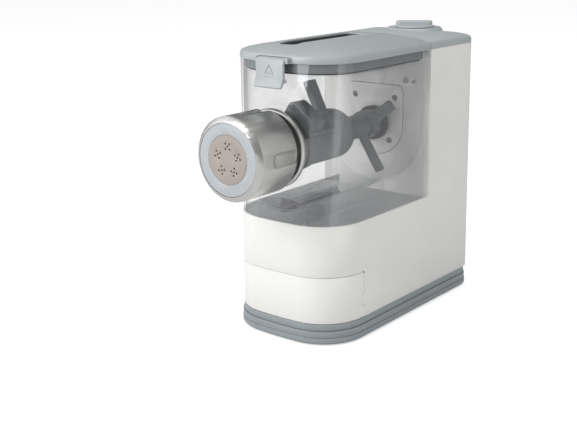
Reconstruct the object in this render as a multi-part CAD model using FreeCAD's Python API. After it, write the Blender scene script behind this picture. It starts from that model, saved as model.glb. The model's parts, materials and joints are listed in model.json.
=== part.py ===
"""Electric pasta maker: a white L-shaped housing with a drawer and a grey base, a clear mixing
chamber with lid and latch, a mixing paddle and feed screw inside an extrusion tube, a screwed nozzle,
and a geared motor in the tower. Millimetres, +Z up, front faces -Y, +X to the right seen from the
front. The origin is on the table under the middle of the whole machine."""
import FreeCAD, Part
import math
import os

V = FreeCAD.Vector

# Body of the machine, seen from above
body_width = 135.0
body_depth = 261.0
front_corner_radius = 46.0
rear_corner_radius = 16.0
front_bow = 6.5
nozzle_reach = 66.4
base_flare = 1.8
tower_setback = 168.0
shell_wall = 3.0

# Clearances
part_gap = 0.3
shaft_gap = 0.05
slide_gap = 0.4
mouth_gap = 1.2

# Heights above the table
foot_lift = 0.8
base_top = 20.8
drawer_top = 67.3
deck_height = 117.4
crown_height = 284.3
axis_rise = 71.8
lid_depth = 14.0
skirt_height = 9.3
axis_height = deck_height + axis_rise
rim_bottom = crown_height - lid_depth
chamber_top = rim_bottom - part_gap
skirt_bottom = rim_bottom - skirt_height

# Base, feet and underside screws
base_floor = 3.2
base_wall = 3.5
base_rear_radius = 23.0
foot_radius = 9.0
foot_height = 3.0
foot_inset_x = 26.0
foot_inset_front = 34.0
foot_inset_rear = 26.0
base_screw_radius = 3.4
base_screw_spacing = 40.0

# Drawer
drawer_wrap = 52.5
drawer_length = 150.0
drawer_wall = 2.0
drawer_height = 39.0
drawer_floor_height = 23.6
notch_height = 12.5
notch_low = 32.7
notch_depth = 3.7
runner_height = 19.2
runner_width = 6.0
runner_inset = 24.0

# Deck
deck_thickness = 2.4
deck_recess = 1.6
partition_thickness = 3.0
deck_post_radius = 4.0

# Chamber
chamber_inset = 0.6
chamber_wall = 2.5
chamber_rear = 164.5
tub_radius = 60.5
tub_wall = 2.2
tub_rim_height = 2.0
rib_spacing = 58.0
rib_thickness = 2.0
seal_hole_radius = 19.5
ear_spacing = 44.0
ear_width = 5.0
ear_radius = 2.1
hinge_pin_radius = 1.2
hinge_y = 162.0
hinge_drop = 5.9
hinge_sweep_radius = 5.7
hinge_z = crown_height - hinge_drop
bead_width = 24.0
bead_height = 3.0

# Nozzle, measured from the front of the body
collar_tip = 52.0
collar_thread_length = 14.0
collar_thread_radius = 34.9
collar_radius = 30.9
collar_flange_radius = 38.0
collar_flange_thickness = 6.0
collar_inner_reach = 12.0
nut_radius = 39.5
nut_bevel = 3.9
nut_rear = 14.5
nut_lip_radius = 34.1
nut_lip_thickness = 4.3
dent_radius = 11.0
dent_depth = 3.2
dent_length = 27.0
dent_count = 4
ring_thickness = 9.2
disc_radius = 22.9
disc_face_thickness = 3.0
disc_cup_radius = 19.0
cluster_radius = 12.5
cluster_count = 5
hole_radius = 1.0
hole_pitch = 3.4

# Extrusion tube
tube_radius = 26.5
tube_bore = 22.5
tube_rear = 70.0
feed_window_start = 34.0
feed_window_width = 34.0
tube_flange_radius = 30.5
lug_angle = 57.0
lug_width = 34.0
lug_top_radius = 42.0
lug_length = 19.0
rib_angle = 23.0
rib_top_radius = 34.5
rib_width = 4.0

# Feed screw and mixing paddle
screw_core_radius = 9.5
screw_radius = 22.0
screw_pitch = 24.0
screw_turns = 4.6
screw_facets = 20
screw_thickness = 4.0
paddle_shaft_radius = 12.5
bell_radius = 25.0
bell_shoulder = 86.0
bell_end = 105.0
paddle_rear = 160.2
drive_square = 13.0
spigot_radius = 5.5
spigot_length = 6.0
front_arm_y = 86.0
front_arm_angle = 116.0
front_arm_reach = 57.0
front_arm_width = 15.0
front_arm_thickness = 7.0
low_arm_y = 136.0
low_arm_angle = -57.0
low_arm_reach = 52.0
low_arm_width = 11.0
low_arm_thickness = 6.0
rear_arm_y = 150.0
rear_arm_angle = 36.0
rear_arm_reach = 39.0
rear_arm_width = 9.0
rear_arm_thickness = 11.5

# Drive panel on the tower's front wall
panel_half_width = 34.2
panel_rise = 41.2
panel_top = axis_height + panel_rise
panel_thickness = 1.4
panel_corner_radius = 7.0
panel_screw_radius = 3.1
panel_screw_low_x = 18.5
panel_screw_low_drop = 17.8
panel_screw_high_x = 24.8
panel_screw_high_rise = 28.0
seal_radius = 18.1
seal_length = 6.4
locator_radius = 3.2
locator_inset = 29.5
locator_rise = 47.3
locator_x = body_width / 2 - locator_inset
locator_z = axis_height + locator_rise
locator_step = 9.6

# Gear train: output gear, stepped intermediate gear, motor pinion
output_teeth = 56
step_teeth = 16
output_module = 1.5
wheel_teeth = 56
pinion_teeth = 14
motor_module = 1.0
gear_backlash = 0.25
output_hub_radius = 12.6
output_shaft_radius = 8.0
bearing_radius = 14.0
axle_radius = 3.0
motor_shaft_radius = 2.5
plate_half_width = 46.0
plate_thickness = 3.0
plate_corner_radius = 8.0
plate_drop = 123.2
plate_rise = 48.8
plate_low = axis_height - plate_drop
plate_high = axis_height + plate_rise
pillar_radius = 4.5
pillar_inset = 7.0
gear_width = 12.0
wheel_width = 6.0
gear_start = 180.0
wheel_start = 194.0
rear_plate_start = 204.0
motor_radius = 29.0
motor_length = 42.0
motor_cap_length = 6.0
cradle_width = 50.0
cradle_length = 26.0

# Lid
lid_wall = 2.2
lid_seam_gap = 0.7
slot_x = -12.0
slot_width = 22.0
slot_front = 34.0
slot_length = 114.0
skirt_inset = chamber_inset + chamber_wall + mouth_gap
skirt_rise = 1.5
skirt_wall = 2.2
gasket_width = 2.0
gasket_overlap = 1.4
gasket_height = 7.0
gasket_low = skirt_bottom - gasket_overlap
chute_wall = 1.6
chute_depth = 20.0

# Latch on the front of the lid
latch_width = 33.0
latch_thickness = 3.0
latch_drop = 23.3
latch_front = 6.6
latch_pivot_y = -1.8
latch_pivot_rise = 2.3
latch_low = rim_bottom - latch_drop
latch_pivot_z = rim_bottom + latch_pivot_rise
cheek_width = 3.0
cheek_reach = 4.2
latch_barrel_radius = 2.6
latch_pin_radius = 1.2
latch_lip = 4.0
latch_tooth = 1.2
latch_hook_rise = 5.0

# Rear cap, selector knob, switch and board
cap_wall = 2.5
knob_x = 9.0
knob_y = 228.0
dais_radius = 31.0
dais_height = 1.4
knob_radius = 21.0
knob_plate = 1.8
grip_length = 39.0
grip_width = 11.0
grip_height = 6.6
grip_angle = 32.0
spindle_radius = 3.0
spindle_length = 22.0
switch_size = 24.0
switch_height = 14.0
board_thickness = 1.6
board_drop = 18.3
board_height = rim_bottom - board_drop
board_front = 178.0
board_rear = 252.0
board_half_width = 48.0
board_post_radius = 3.0

# Mains inlet and vents in the rear wall
inlet_x = -34.0
inlet_z = 46.0
inlet_width = 27.6
inlet_height = 17.6
inlet_depth = 14.0
inlet_recess = 10.0
inlet_rim = 3.0
inlet_pin_radius = 1.2
inlet_pin_spacing = 8.6
vent_count = 8
vent_pitch = 7.0
vent_height = 3.0
vent_length = 30.0
vent_low = 150.0
vent_spacing = 42.0

# Worked out from the values above
half_width = body_width / 2
total_length = nozzle_reach + body_depth + base_flare
front_y = nozzle_reach - total_length / 2
back_y = front_y + body_depth
tower_y = front_y + tower_setback
beyond = 400.0


def box(x0, x1, y0, y1, z0, z1):
    return Part.makeBox(x1 - x0, y1 - y0, z1 - z0, V(x0, y0, z0))


def behind(y):
    """Everything behind a plane, to cut a shape across."""
    return box(-beyond, beyond, y, y + 2 * beyond, -beyond, beyond)


def ahead_of(y):
    return box(-beyond, beyond, y - 2 * beyond, y, -beyond, beyond)


def rod_y(radius, y0, y1, x=0.0, z=axis_height):
    return Part.makeCylinder(radius, y1 - y0, V(x, y0, z), V(0, 1, 0))


def rod_x(radius, x0, x1, y, z):
    return Part.makeCylinder(radius, x1 - x0, V(x0, y, z), V(1, 0, 0))


def rod_z(radius, x, y, z0, z1):
    return Part.makeCylinder(radius, z1 - z0, V(x, y, z0))


def ring_y(outer, inner, y0, y1, x=0.0, z=axis_height):
    return rod_y(outer, y0, y1, x, z).cut(rod_y(inner, y0 - 1, y1 + 1, x, z))


def join(shapes):
    """One solid from touching shapes, with its seams cleaned up."""
    first = shapes[0]
    return first.fuse(shapes[1:]).removeSplitter() if len(shapes) > 1 else first


def vertical_edges(solid):
    """The upright straight edges of a prism."""
    found = []
    for edge in solid.Edges:
        a, b = edge.Vertexes[0].Point, edge.Vertexes[-1].Point
        if abs(a.x - b.x) < 0.001 and abs(a.y - b.y) < 0.001 and abs(a.z - b.z) > 0.01:
            found.append(edge)
    return found


def body_prism(inset, z0, z1, rear_radius=rear_corner_radius):
    """The machine's plan outline, moved in by an inset, as an upright prism: a bowed front, two
    large front corners, straight sides and two small rear corners."""
    w = half_width - inset
    front = front_y + inset
    back = back_y - inset
    left_front, right_front = V(-w, front + front_bow, z0), V(w, front + front_bow, z0)
    left_back, right_back = V(-w, back, z0), V(w, back, z0)
    wire = Part.Wire([
        Part.Arc(left_front, V(0, front, z0), right_front).toShape(),
        Part.LineSegment(right_front, right_back).toShape(),
        Part.LineSegment(right_back, left_back).toShape(),
        Part.LineSegment(left_back, left_front).toShape(),
    ])
    prism = Part.Face(wire).extrude(V(0, 0, z1 - z0))
    edges = vertical_edges(prism)
    middle = (front + back) / 2
    ahead = [edge for edge in edges if edge.Vertexes[0].Point.y < middle]
    prism = prism.makeFillet(max(front_corner_radius - inset, 4.0), ahead)
    edges = vertical_edges(prism)
    aback = [edge for edge in edges if edge.Vertexes[0].Point.y > back - 0.01
             and abs(edge.Vertexes[0].Point.x) > w - 0.01]
    return prism.makeFillet(max(rear_radius - inset, 2.0), aback)


def body_band(inset, wall, z0, z1):
    """A wall that follows the plan outline."""
    return body_prism(inset, z0, z1).cut(body_prism(inset + wall, z0 - 1, z1 + 1))


def crowned_top(inset, drop, z0):
    """The crowned top that the lid and the rear cap share: it rolls over at the rim and rises
    gently to the middle."""
    roll = [(0.0, 10.0), (1.3, 7.4), (5.5, 5.7), (16.5, 3.4), (29.5, 1.7), (44.0, 0.0)]
    sections = [(inset, z0)]
    sections += [(inset + inward, crown_height - drop - below) for inward, below in roll]
    wires = []
    for section_inset, z in sections:
        section = body_prism(section_inset, z, z + 1)
        bottom = [face for face in section.Faces if abs(face.CenterOfMass.z - z) < 0.001][0]
        wires.append(bottom.OuterWire)
    return Part.makeLoft(wires, True, True)


def rounded_slab(x0, x1, y0, y1, z0, z1, radius):
    slab = box(x0, x1, y0, y1, z0, z1)
    return slab.makeFillet(radius, vertical_edges(slab))


def round_edges_along_y(solid, radius):
    """Fillet the straight edges that run front to back."""
    found = []
    for edge in solid.Edges:
        a, b = edge.Vertexes[0].Point, edge.Vertexes[-1].Point
        if abs(a.x - b.x) < 0.001 and abs(a.z - b.z) < 0.001 and abs(a.y - b.y) > 0.01:
            found.append(edge)
    return solid.makeFillet(radius, found)


def polar(radius, degrees, y=0.0):
    angle = math.radians(degrees)
    return V(radius * math.cos(angle), y, axis_height + radius * math.sin(angle))


def turn_about_shaft(shape, degrees):
    """Turn a shape about the shaft, positive from +X towards +Z."""
    turned = shape.copy()
    turned.rotate(V(0, 0, axis_height), V(0, -1, 0), degrees)
    return turned


# Base and feet

def make_base():
    """A grey tray in three bands under the white body, flared a little at the table."""
    lower = body_prism(-base_flare, foot_lift, 7.0, base_rear_radius)
    bottom_edges = [edge for edge in lower.Edges if edge.BoundBox.ZMax < foot_lift + 0.01]
    lower = lower.makeChamfer(1.6, bottom_edges)
    groove = body_prism(-base_flare + 0.9, 6.9, 7.8, base_rear_radius)
    middle = body_prism(-base_flare + 0.4, 7.7, 13.8, base_rear_radius)
    waist = body_prism(0.5, 13.7, 14.5, base_rear_radius)
    upper = body_prism(-0.3, 14.4, base_top, base_rear_radius)
    tray = join([lower, groove, middle, waist, upper])
    hollow = body_prism(base_wall, foot_lift + base_floor, base_top + 1, base_rear_radius)
    tray = tray.cut(hollow)
    for x, y in foot_places():
        tray = tray.cut(rod_z(foot_radius + 0.1, x, y, 0, foot_height))
        tray = tray.fuse(rod_z(foot_radius + 2, x, y, foot_height, foot_height + base_floor))
    for x, y in base_screw_places():
        tray = tray.cut(rod_z(base_screw_radius + 0.3, x, y, 0, foot_lift + base_floor + 1))
        boss = rod_z(base_screw_radius + 2.6, x, y, foot_lift, foot_lift + base_floor + 5)
        boss = boss.cut(rod_z(base_screw_radius + 0.3, x, y, 0, foot_lift + base_floor))
        tray = tray.fuse(boss)
    return tray.removeSplitter()


def foot_places():
    x = half_width - foot_inset_x
    return [(side * x, y) for side in (-1, 1)
            for y in (front_y + foot_inset_front, back_y - foot_inset_rear)]


def base_screw_places():
    y = front_y + body_depth / 2
    return [(side * base_screw_spacing / 2, y + along * base_screw_spacing)
            for side in (-1, 1) for along in (-1, 1)]


def make_feet():
    return Part.makeCompound([rod_z(foot_radius, x, y, 0, foot_height) for x, y in foot_places()])


def make_base_screws():
    screws = []
    for x, y in base_screw_places():
        head_top = foot_lift + base_floor
        head = rod_z(base_screw_radius, x, y, foot_lift + 0.6, head_top)
        slot = box(x - base_screw_radius, x + base_screw_radius, y - 0.5, y + 0.5, 0, foot_lift + 1.4)
        screws.append(head.cut(slot))
    return Part.makeCompound(screws)


# White housing

def make_housing():
    """An L-shaped shell: a low box in front with the drawer bay, and the tower behind."""
    low = body_band(0, shell_wall, base_top, deck_height)
    tower = body_prism(0, base_top, rim_bottom).common(behind(tower_y))
    inside = body_prism(shell_wall, base_top - 1, rim_bottom + 1).common(behind(tower_y + shell_wall))
    tower = tower.cut(inside)
    partition = body_prism(shell_wall - 0.5, drawer_top, drawer_top + partition_thickness)
    partition = partition.common(ahead_of(tower_y + 0.5))
    shell = low.fuse([tower, partition])
    bay = box(-beyond, beyond, front_y - 10, front_y + drawer_wrap, base_top - 1, drawer_top)
    shell = shell.cut(bay)
    for side in (-1, 1):
        tab = box(half_width - shell_wall, half_width, front_y + drawer_wrap - notch_depth,
                  front_y + drawer_wrap + 1, notch_low + part_gap, notch_low + notch_height - part_gap)
        if side < 0:
            tab = tab.mirror(V(0, 0, 0), V(1, 0, 0))
        shell = shell.fuse(tab)
    for x, y in deck_post_places():
        post_top = deck_height - deck_recess - deck_thickness
        shell = shell.fuse(rod_z(deck_post_radius, x, y, drawer_top + 1, post_top))
    shaft_way = rod_y(output_hub_radius + 1.4, tower_y - 1, tower_y + shell_wall + 1)
    shell = shell.cut(shaft_way)
    shell = shell.cut(inlet_window())
    vents = []
    for side in (-1, 1):
        for index in range(vent_count):
            z = vent_low + index * vent_pitch
            x = side * vent_spacing / 2
            slot = box(x - vent_length / 2 + vent_height, x + vent_length / 2 - vent_height,
                       back_y - shell_wall - 1, back_y + 1, z, z + vent_height)
            vents.append(slot)
    return shell.cut(vents).removeSplitter()


def deck_post_places():
    return [(side * half_width * 0.6, front_y + along) for side in (-1, 1) for along in (60.0, 140.0)]


def make_deck():
    """The grey deck that the chamber stands on, sunk just below the white rim."""
    top = deck_height - deck_recess
    deck = body_prism(shell_wall + 0.15, top - deck_thickness, top)
    return deck.common(ahead_of(tower_y - 0.2))


# Drawer

def make_drawer_front():
    """The drawer's front wraps both front corners of the body, with a finger notch at each end."""
    low, high = base_top + slide_gap, drawer_top - slide_gap
    band = body_band(0, shell_wall, low, high).common(ahead_of(front_y + drawer_wrap - slide_gap))
    for side in (-1, 1):
        x = side * half_width
        y = front_y + drawer_wrap
        notch = box(x - shell_wall - 1, x + shell_wall + 1, y - notch_depth - part_gap, y + 1,
                    notch_low, notch_low + notch_height)
        band = band.cut(notch)
        corner = [edge for edge in band.Edges
                  if abs(edge.BoundBox.YMin - (y - slide_gap)) < 0.01
                  and abs(edge.BoundBox.YMax - (y - slide_gap)) < 0.01
                  and abs(edge.BoundBox.ZMin - high) < 0.01 and edge.BoundBox.XMin * side > 0]
        band = band.makeFillet(4.0, corner)
    return band


def make_drawer_tray():
    """An open tray behind the front, with one cross wall."""
    low = drawer_floor_height
    high = low + drawer_height
    outer_inset = shell_wall + part_gap
    rear = front_y + drawer_length
    tray = body_prism(outer_inset, low, high).common(ahead_of(rear))
    hollow = body_prism(outer_inset + drawer_wall, low + drawer_wall, high + 1)
    hollow = hollow.common(ahead_of(rear - drawer_wall))
    y = front_y + drawer_wrap + 10
    divider = box(-beyond, beyond, y, y + drawer_wall, low + 1, high - 8)
    return tray.cut(hollow.cut(divider))


def make_runners():
    """Two rails on the base that the tray slides on."""
    rails = []
    for side in (-1, 1):
        x = side * (half_width - runner_inset)
        low = foot_lift + base_floor
        rails.append(box(x - runner_width / 2, x + runner_width / 2, front_y + 55,
                         front_y + drawer_length + 8, low, low + runner_height))
    return Part.makeCompound(rails)


# Drive panel on the tower wall, its screws, the two locators and the shaft seal

def make_panel():
    """A shield with rounded top corners whose lower end is an arc about the shaft."""
    w = panel_half_width
    y1 = tower_y
    y0 = tower_y - panel_thickness
    r = panel_corner_radius
    start = V(-w, y0, axis_height)
    wire = Part.Wire([
        Part.LineSegment(start, V(-w, y0, panel_top - r)).toShape(),
        Part.Arc(V(-w, y0, panel_top - r), V(-w + r * 0.293, y0, panel_top - r * 0.293),
                 V(-w + r, y0, panel_top)).toShape(),
        Part.LineSegment(V(-w + r, y0, panel_top), V(w - r, y0, panel_top)).toShape(),
        Part.Arc(V(w - r, y0, panel_top), V(w - r * 0.293, y0, panel_top - r * 0.293),
                 V(w, y0, panel_top - r)).toShape(),
        Part.LineSegment(V(w, y0, panel_top - r), V(w, y0, axis_height)).toShape(),
        Part.Arc(V(w, y0, axis_height), V(0, y0, axis_height - w), start).toShape(),
    ])
    panel = Part.Face(wire).extrude(V(0, y1 - y0, 0))
    panel = panel.cut(rod_y(output_hub_radius + 1.4, y0 - 1, y1 + 1))
    for x, z in panel_screw_places():
        panel = panel.cut(rod_y(panel_screw_radius + 0.1, y0 - 1, y1 + 1, x, z))
    return panel


def panel_screw_places():
    return [(side * x, z) for side in (-1, 1)
            for x, z in ((panel_screw_low_x, axis_height - panel_screw_low_drop),
                         (panel_screw_high_x, axis_height + panel_screw_high_rise))]


def make_panel_screws():
    screws = []
    for x, z in panel_screw_places():
        y0 = tower_y - panel_thickness - 0.3
        head = rod_y(panel_screw_radius, y0, tower_y, x, z)
        socket = rod_y(1.4, y0 - 1, y0 + 1, x, z)
        screws.append(head.cut(socket))
    return Part.makeCompound(screws)


def make_locators():
    """Two round pegs on the wall that the chamber's rear wall finds its place on."""
    large = rod_y(locator_radius, tower_y - 1.6, tower_y, locator_x, locator_z)
    small = rod_y(locator_radius * 0.62, tower_y - 1.6, tower_y, locator_x + locator_step, locator_z - 1)
    return Part.makeCompound([large, small])


def make_seal():
    y1 = tower_y - panel_thickness
    y0 = y1 - seal_length
    ring = ring_y(seal_radius, output_hub_radius + 0.5, y0, y1)
    groove = ring_y(seal_radius - 1.6, seal_radius - 2.8, y0 - 1, y0 + 1)
    return ring.cut(groove)


# Gears and shafts in the tower

def gear(teeth, module, y0, y1, x, z, phase, bore):
    """A spur gear whose teeth have straight tapered flanks."""
    pitch_radius = teeth * module / 2
    tip = pitch_radius + module * 0.95
    root = pitch_radius - module * 1.2
    step = 360.0 / teeth
    half_tip = step * 0.11
    half_root = step * 0.36 - math.degrees(gear_backlash / pitch_radius) / 2
    points = []
    for index in range(teeth):
        middle = phase + index * step
        for offset, radius in ((-half_root, root), (-half_tip, tip), (half_tip, tip), (half_root, root)):
            angle = math.radians(middle + offset)
            points.append(V(x + radius * math.cos(angle), y0, z + radius * math.sin(angle)))
    points.append(points[0])
    blank = Part.Face(Part.makePolygon(points)).extrude(V(0, y1 - y0, 0))
    return blank.cut(rod_y(bore, y0 - 1, y1 + 1, x, z))


def step_axis_z():
    return axis_height - output_module * (output_teeth + step_teeth) / 2


def motor_axis_z():
    return step_axis_z() - motor_module * (wheel_teeth + pinion_teeth) / 2


def make_output_gear():
    y0 = front_y + gear_start
    wheel = gear(output_teeth, output_module, y0, y0 + gear_width, 0, axis_height, -90.0,
                 output_shaft_radius)
    web = ring_y(output_module * output_teeth / 2 - 5, output_shaft_radius + 6, y0 + 8, y0 + gear_width + 1)
    return wheel.cut(web)


def make_step_gear():
    """The stepped gear: a small one meets the output gear, a large one the motor's pinion."""
    y0 = front_y + gear_start + 0.5
    z = step_axis_z()
    half_tooth = 180.0 / step_teeth
    small = gear(step_teeth, output_module, y0, y0 + gear_width - 1, 0, z, 90.0 + half_tooth,
                 axle_radius + shaft_gap)
    y1 = front_y + wheel_start
    large = gear(wheel_teeth, motor_module, y1, y1 + wheel_width, 0, z, -90.0, axle_radius + shaft_gap)
    sleeve = ring_y(output_module * step_teeth / 2 - 3, axle_radius + shaft_gap, y0 + 5, y1 + 1, 0, z)
    return join([small, large, sleeve])


def make_step_axle():
    y0 = front_y + gear_start - 6
    return rod_y(axle_radius, y0, front_y + rear_plate_start + plate_thickness, 0, step_axis_z())


def make_output_shaft():
    """The hub that shows through the seal, with its square socket, and the shaft behind it."""
    hub_front = tower_y - panel_thickness - seal_length + 2.2
    hub_back = tower_y + 5.2
    hub = rod_y(output_hub_radius, hub_front, hub_back)
    shaft = rod_y(output_shaft_radius - shaft_gap, hub_back - 1, front_y + rear_plate_start + 4)
    half = drive_square / 2 + 0.1
    socket = box(-half, half, hub_front - 1, tower_y + 4, axis_height - half, axis_height + half)
    return join([hub, shaft]).cut(socket)


def bearing(y0, y1):
    ring = ring_y(bearing_radius, output_shaft_radius + shaft_gap, y0, y1)
    groove = ring_y(bearing_radius - 2, bearing_radius - 3.4, y0 - 1, y0 + 0.6)
    return ring.cut(groove)


def make_front_bearing():
    y0 = tower_y + 5.6
    return bearing(y0, y0 + 5.0)


def make_rear_bearing():
    y0 = front_y + rear_plate_start - 3.0
    return bearing(y0, y0 + 6.0)


def gearbox_plate(y0, y1):
    w = plate_half_width
    plate = round_edges_along_y(box(-w, w, y0, y1, plate_low, plate_high), plate_corner_radius)
    for x, z in pillar_places():
        plate = plate.cut(rod_y(1.6, y0 - 1, y1 + 1, x, z))
    return plate


def pillar_places():
    x = plate_half_width - pillar_inset
    return [(side * x, z) for side in (-1, 1)
            for z in (plate_low + pillar_inset, plate_high - pillar_inset)]


def make_front_plate():
    y0 = tower_y + shell_wall + 0.2
    y1 = y0 + plate_thickness
    plate = gearbox_plate(y0, y1)
    boss_end = tower_y + 10.6
    boss = ring_y(bearing_radius + 3, bearing_radius + 0.02, y1 - 1, boss_end)
    axle_boss = rod_y(axle_radius + 3, y1 - 1, front_y + gear_start - 3, 0, step_axis_z())
    plate = plate.fuse([boss, axle_boss])
    plate = plate.cut(rod_y(output_hub_radius + 0.6, y0 - 1, y1 + 0.1))
    plate = plate.cut(rod_y(bearing_radius + 0.02, tower_y + 5.6, boss_end + 1))
    axle_seat = rod_y(axle_radius, front_y + gear_start - 6, front_y + gear_start, 0, step_axis_z())
    return plate.cut(axle_seat)


def make_rear_plate():
    y0 = front_y + rear_plate_start
    y1 = y0 + plate_thickness
    plate = gearbox_plate(y0, y1)
    boss = ring_y(bearing_radius + 3, bearing_radius + 0.02, y0 - 3, y0 + 1)
    plate = plate.fuse(boss).cut(rod_y(bearing_radius + 0.02, y0 - 4, y1 + 1))
    plate = plate.cut(rod_y(axle_radius, y0 - 1, y1 + 1, 0, step_axis_z()))
    return plate.cut(rod_y(motor_shaft_radius + 3, y0 - 1, y1 + 1, 0, motor_axis_z()))


def make_pillars():
    """Spacers that hold the two gearbox plates apart, each with a screw head behind."""
    pillars = []
    y0 = tower_y + shell_wall + 0.2 + plate_thickness
    y1 = front_y + rear_plate_start
    for x, z in pillar_places():
        pillar = rod_y(pillar_radius, y0, y1, x, z)
        screw = rod_y(1.55, y1 - 1, y1 + plate_thickness + 1, x, z)
        head = rod_y(3.2, y1 + plate_thickness, y1 + plate_thickness + 2.2, x, z)
        pillars.append(join([pillar, screw, head]))
    return Part.makeCompound(pillars)


def make_motor_can():
    y0 = front_y + rear_plate_start + plate_thickness
    z = motor_axis_z()
    can = rod_y(motor_radius, y0, y0 + motor_length, 0, z)
    ends = [edge for edge in can.Edges if edge.BoundBox.YMin > y0 + 1 and edge.BoundBox.YLength < 0.01]
    can = can.makeChamfer(1.5, ends)
    way = rod_y(motor_shaft_radius + 0.6, y0 - 1, y0 + motor_length - 4, 0, z)
    return can.cut(way)


def make_motor_cap():
    y0 = front_y + rear_plate_start + plate_thickness + motor_length
    z = motor_axis_z()
    cap = rod_y(motor_radius * 0.62, y0, y0 + motor_cap_length, 0, z)
    terminals = [box(side * 11 - 1.5, side * 11 + 1.5, y0 + motor_cap_length - 0.5,
                     y0 + motor_cap_length + 1.5, z - 4, z + 4) for side in (-1, 1)]
    return join([cap] + terminals)


def make_rotor():
    """The motor's shaft with its pinion, in mesh with the stepped gear."""
    z = motor_axis_z()
    y1 = front_y + wheel_start
    half_tooth = 180.0 / pinion_teeth
    pinion = gear(pinion_teeth, motor_module, y1 - 0.5, y1 + wheel_width + 0.5, 0, z, 90.0 + half_tooth,
                  motor_shaft_radius - 0.3)
    y_end = front_y + rear_plate_start + plate_thickness + motor_length - 6
    shaft = rod_y(motor_shaft_radius, y1 - 0.5, y_end, 0, z)
    return join([pinion, shaft])


def make_cradle():
    """A saddle from the base that carries the motor."""
    z = motor_axis_z()
    y0 = front_y + rear_plate_start + plate_thickness + 8
    low = foot_lift + base_floor
    block = box(-cradle_width / 2, cradle_width / 2, y0, y0 + cradle_length, low, z - motor_radius * 0.6)
    window = box(-cradle_width / 2 + 5, cradle_width / 2 - 5, y0 - 1, y0 + cradle_length + 1,
                 low + 6, z - motor_radius - 8)
    return block.cut(window).cut(rod_y(motor_radius + 0.1, y0 - 1, y0 + cradle_length + 1, 0, z))


# Feed screw, mixing paddle and extrusion tube

def make_feed_screw():
    """A cored auger: one flight winds round the core inside the tube, in short straight lengths."""
    start = front_y - collar_tip + 1.0
    end = front_y + tube_rear
    core = rod_y(screw_core_radius, start, end)
    core = core.cut(rod_y(spigot_radius + shaft_gap, end - spigot_length - 0.5, end + 1))
    inner = screw_core_radius - 1.0
    half = screw_thickness / 2
    root_half = half + 0.8
    first = start + root_half + 0.5
    sections = []
    for index in range(int(screw_turns * screw_facets) + 1):
        turn = index / screw_facets
        angle = math.radians(360 * turn)
        across, up = math.cos(angle), math.sin(angle)
        y = first + turn * screw_pitch
        corners = [(inner, -root_half), (screw_radius, -half), (screw_radius, half),
                   (inner, root_half), (inner, -root_half)]
        sections.append(Part.makePolygon([V(radius * across, y + along, axis_height + radius * up)
                                          for radius, along in corners]))
    flight = Part.makeLoft(sections, True, True)
    return join([core, flight])


def arm(y, degrees, reach, axial, thickness):
    """A paddle arm with rounded edges, from inside the shaft out to its reach."""
    inner = paddle_shaft_radius * 0.5
    bar = box(inner, reach, y - axial / 2, y + axial / 2,
              axis_height - thickness / 2, axis_height + thickness / 2)
    long_edges = [edge for edge in bar.Edges if edge.BoundBox.XLength > 1]
    bar = bar.makeFillet(min(axial, thickness) * 0.3, long_edges)
    root = Part.makeCone(thickness * 0.95, thickness * 0.55, reach * 0.4,
                         V(inner, y, axis_height), V(1, 0, 0))
    return turn_about_shaft(join([bar, root]), degrees)


def make_paddle():
    """A bell-shaped hub behind the tube, the shaft with its three arms, and the square that enters
    the drive."""
    y0 = front_y + tube_rear + part_gap
    shoulder = front_y + bell_shoulder
    end = front_y + bell_end
    half_way = math.sqrt(0.5)
    bend = V(paddle_shaft_radius + (bell_radius - paddle_shaft_radius) * half_way,
             shoulder + (end - shoulder) * half_way, 0)
    outline = Part.Wire([
        Part.LineSegment(V(0, y0, 0), V(bell_radius, y0, 0)).toShape(),
        Part.LineSegment(V(bell_radius, y0, 0), V(bell_radius, shoulder, 0)).toShape(),
        Part.Arc(V(bell_radius, shoulder, 0), bend, V(paddle_shaft_radius, end, 0)).toShape(),
        Part.LineSegment(V(paddle_shaft_radius, end, 0), V(0, end, 0)).toShape(),
        Part.LineSegment(V(0, end, 0), V(0, y0, 0)).toShape(),
    ])
    bell = Part.Face(outline).revolve(V(0, 0, 0), V(0, 1, 0), 360)
    bell.translate(V(0, 0, axis_height))
    y1 = front_y + paddle_rear
    shaft = rod_y(paddle_shaft_radius, y0, y1)
    collar = rod_y(paddle_shaft_radius + 2.2, front_y + rear_arm_y - 7, front_y + rear_arm_y + 7)
    half = drive_square / 2
    square = box(-half, half, y1 - 1, tower_y + 3, axis_height - half, axis_height + half)
    spigot = rod_y(spigot_radius, y0 - part_gap - spigot_length, y0 + 1)
    arms = [arm(front_y + front_arm_y, front_arm_angle, front_arm_reach, front_arm_width,
                front_arm_thickness),
            arm(front_y + low_arm_y, low_arm_angle, low_arm_reach, low_arm_width, low_arm_thickness),
            arm(front_y + rear_arm_y, rear_arm_angle, rear_arm_reach, rear_arm_width,
                rear_arm_thickness)]
    return join([shaft, bell, collar, square, spigot] + arms)


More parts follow.
